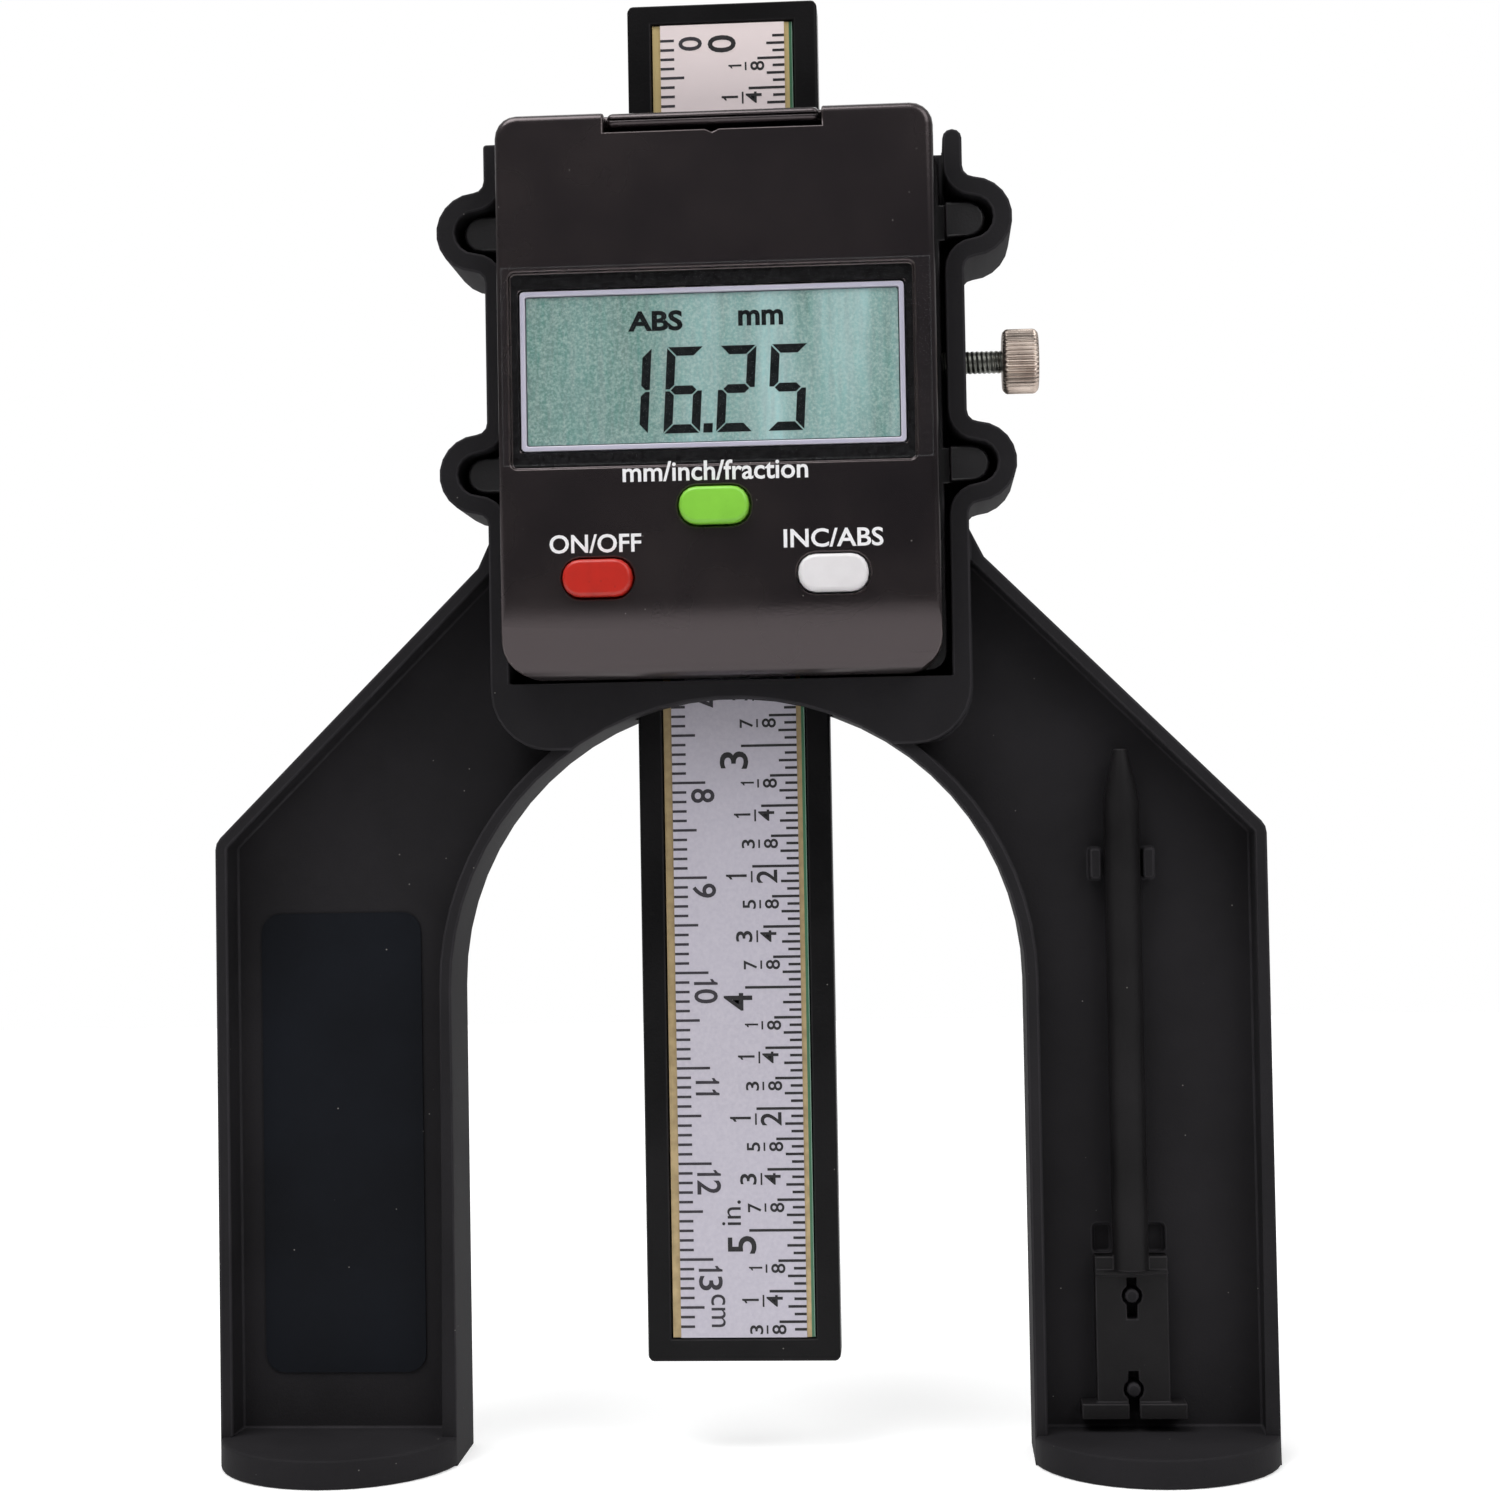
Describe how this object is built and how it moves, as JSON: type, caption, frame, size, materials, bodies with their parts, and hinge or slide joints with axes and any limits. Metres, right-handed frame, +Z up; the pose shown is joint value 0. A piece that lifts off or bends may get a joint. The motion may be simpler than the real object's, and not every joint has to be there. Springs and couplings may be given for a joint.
{
  "type": "depth gauge",
  "caption": "Digital depth gauge: an arched base on two feet holds a display module, and a flat scaled beam slides down through it and is held by a thumb screw.",
  "frame": {"origin": "on the ground, midway between the two feet and midway between the front and back of the feet", "axes": "+Z up along the beam, +X to the right as the display is read, -Y towards the reader"},
  "size_m": [0.11, 0.02, 0.1536],
  "materials": {
    "base_plastic": "fine matt moulded",
    "cover_plastic": "satin moulded",
    "housing_plastic": "satin moulded",
    "beam_plastic": "satin moulded",
    "clear_film": "clear film",
    "silver_frame": "silver printed",
    "screen_glass": "reflective display glass",
    "grey_rubber": "matt",
    "green_laminate": "solder resist",
    "chip_plastic": "matt moulded",
    "cell_steel": "bright rolled",
    "spring_steel": "bright",
    "silver_paper": "printed silver film",
    "brass": "turned",
    "dark_steel": "blackened thread",
    "nickel_steel": "knurled, nickel plated",
    "dark_label": "matt film",
    "green_plastic": "satin moulded",
    "red_plastic": "satin moulded",
    "white_plastic": "satin moulded",
    "screw_steel": "zinc plated",
    "magnet_plating": "nickel plated"
  },
  "bodies": {
    "gauge_body": {"bridge_base": "base_plastic", "front_cover": "cover_plastic", "rear_housing": "housing_plastic", "screen_film": "clear_film", "screen_frame": "silver_frame", "screen_glass": "screen_glass", "screen_connector": "grey_rubber", "circuit_board": "green_laminate", "controller_chip": "chip_plastic", "contact_positive": "spring_steel", "contact_negative": "spring_steel", "beam_spring": "spring_steel", "lock_insert": "brass", "leg_label": "dark_label", "switch_units": "spring_steel", "switch_power": "spring_steel", "switch_mode": "spring_steel", "module_screw_1": "screw_steel", "cover_screw_1": "screw_steel", "foot_magnet_1": "magnet_plating", "module_screw_2": "screw_steel", "cover_screw_2": "screw_steel", "foot_magnet_2": "magnet_plating", "module_screw_3": "screw_steel", "cover_screw_3": "screw_steel", "foot_magnet_3": "magnet_plating", "module_screw_4": "screw_steel", "cover_screw_4": "screw_steel", "foot_magnet_4": "magnet_plating"},
    "beam": {"beam": "beam_plastic", "scale_circuit": "green_laminate", "scale_label": "silver_paper"},
    "lock_shoe": {"lock_shoe": "brass"},
    "lock_screw": {"lock_screw_shank": "dark_steel", "lock_screw_head": "nickel_steel"},
    "drawer": {"battery_drawer": "cover_plastic", "coin_cell": "cell_steel"},
    "probe": {"depth_probe": "base_plastic"},
    "units_button": {"button_units": "green_plastic", "plunger_units": "chip_plastic"},
    "power_button": {"button_power": "red_plastic", "plunger_power": "chip_plastic"},
    "mode_button": {"button_mode": "white_plastic", "plunger_mode": "chip_plastic"}
  },
  "joints": [
    {"name": "beam_slide", "type": "slide", "parent": "gauge_body", "child": "beam", "axis": [0, 0, 1], "range_m": [-0.01, 0.07]},
    {"name": "shoe_slide", "type": "slide", "parent": "gauge_body", "child": "lock_shoe", "axis": [1, 0, 0], "range_m": [-0.00037, 0.00099]},
    {"name": "lock_turn", "type": "hinge", "parent": "lock_shoe", "child": "lock_screw", "pos_m": [0.03, 0.0046, 0.1148], "axis": [1, 0, 0], "range_deg": [-270, 720]},
    {"name": "drawer_slide", "type": "slide", "parent": "gauge_body", "child": "drawer", "axis": [0, 0, 1], "range_m": [0, 0.024]},
    {"name": "probe_lift", "type": "slide", "parent": "gauge_body", "child": "probe", "axis": [0, -1, 0], "range_m": [0, 0.012]},
    {"name": "units_press", "type": "slide", "parent": "gauge_body", "child": "units_button", "axis": [0, 1, 0], "range_m": [0, 0.0008], "stiffness_N_per_m": 800},
    {"name": "power_press", "type": "slide", "parent": "gauge_body", "child": "power_button", "axis": [0, 1, 0], "range_m": [0, 0.0008], "stiffness_N_per_m": 800},
    {"name": "mode_press", "type": "slide", "parent": "gauge_body", "child": "mode_button", "axis": [0, 1, 0], "range_m": [0, 0.0008], "stiffness_N_per_m": 800}
  ],
  "couplings": [
    {"joint": "lock_turn", "follows": "shoe_slide", "rad_per_m": 12566}
  ]
}
